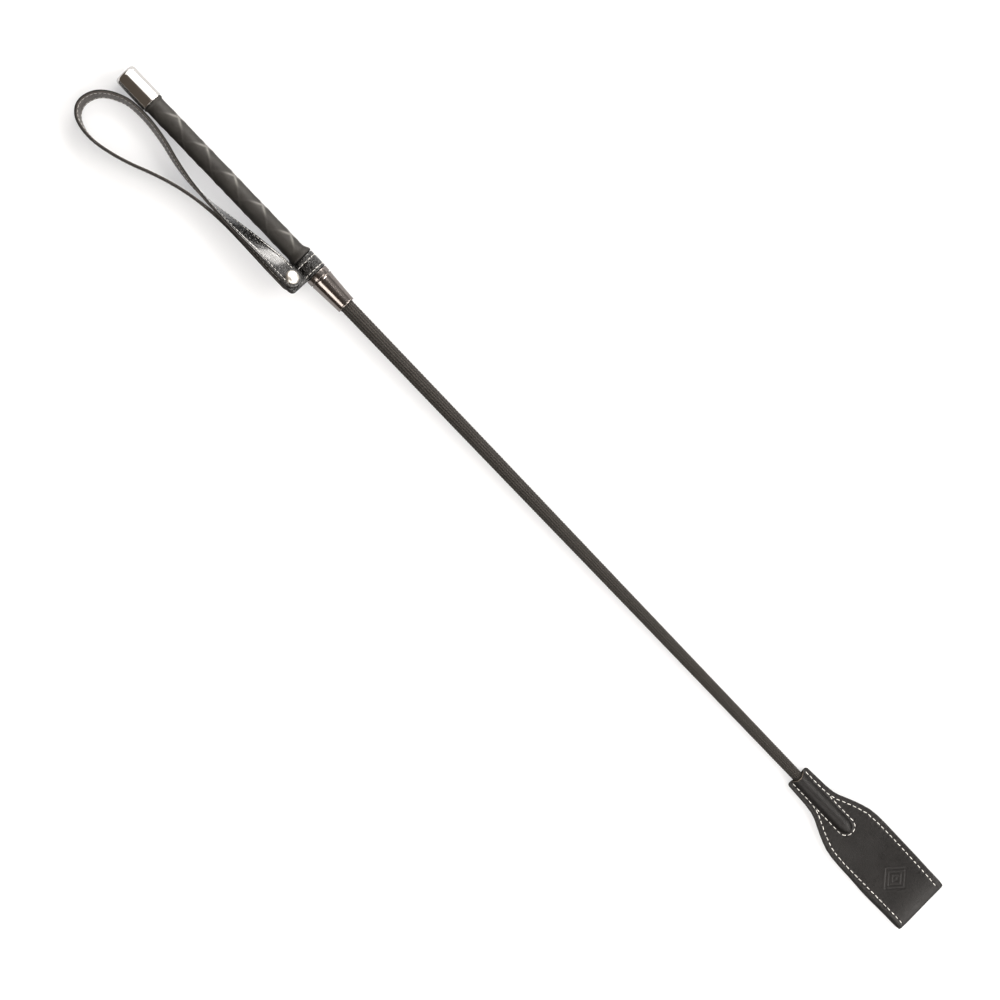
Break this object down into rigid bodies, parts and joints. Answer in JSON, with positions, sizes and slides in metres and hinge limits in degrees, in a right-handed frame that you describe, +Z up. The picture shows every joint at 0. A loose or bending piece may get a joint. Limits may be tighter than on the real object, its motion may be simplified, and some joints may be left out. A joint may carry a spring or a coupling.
{
  "type": "riding crop",
  "caption": "Riding crop: braided tapered shaft, rubber grip with metal cap and ferrule, riveted leather wrist loop, folded stitched leather flap.",
  "frame": {"origin": "centre of the butt cap's flat end face, on the shaft's axis", "axes": "+X along the shaft from butt to flap, +Z up out of the flap's front face, +Y away from the wrist loop as it lies"},
  "size_m": [0.6567, 0.0574, 0.0201],
  "materials": {
    "cap_metal": "polished",
    "ferrule_metal": "polished black nickel",
    "rivet_metal": "polished",
    "grip_rubber": "matt moulded",
    "core_plastic": "turned",
    "rod_fibreglass": "pultruded",
    "braid_thread": "braided and waxed",
    "strap_leather": "glossy grained",
    "strap_backing": "smooth",
    "band_leather": "glossy grained",
    "flap_leather": "smooth satin",
    "flap_lining": "matt",
    "white_thread": "waxed sewing thread"
  },
  "bodies": {
    "crop": {"butt_cap": "cap_metal", "grip_core": "core_plastic", "grip_sleeve": "grip_rubber", "ferrule": "ferrule_metal", "shaft_rod": "rod_fibreglass", "shaft_braid": "braid_thread", "flap_neck_leather_front": "flap_leather", "flap_neck_lining_front": "flap_lining", "flap_neck_leather_back": "flap_leather", "flap_neck_lining_back": "flap_lining", "flap_neck_stitching": "white_thread"},
    "neck_band": {"neck_band": "band_leather", "neck_band_stitching": "white_thread", "rivet_post": "rivet_metal", "rivet_cap": "rivet_metal"},
    "wrist_strap": {"strap_outer_ply": "strap_leather", "strap_inner_ply": "strap_backing", "strap_stitching": "white_thread"},
    "flap_blade": {"flap_blade_leather": "flap_leather", "flap_blade_lining": "flap_lining", "flap_blade_stitching": "white_thread"}
  },
  "joints": [
    {"name": "band_swivel", "type": "hinge", "parent": "crop", "child": "neck_band", "pos_m": [0.151, 0, 0], "axis": [1, 0, 0], "continuous": true},
    {"name": "loop_pivot", "type": "hinge", "parent": "neck_band", "child": "wrist_strap", "pos_m": [0.1494, -0.01274, 0.00649], "axis": [0, 0.454, 0.891], "range_deg": [0, 110]},
    {"name": "flap_flex", "type": "hinge", "parent": "crop", "child": "flap_blade", "pos_m": [0.595, 0, 0], "axis": [0, 1, 0], "range_deg": [-45, 45], "stiffness_Nm_per_rad": 0.25}
  ]
}
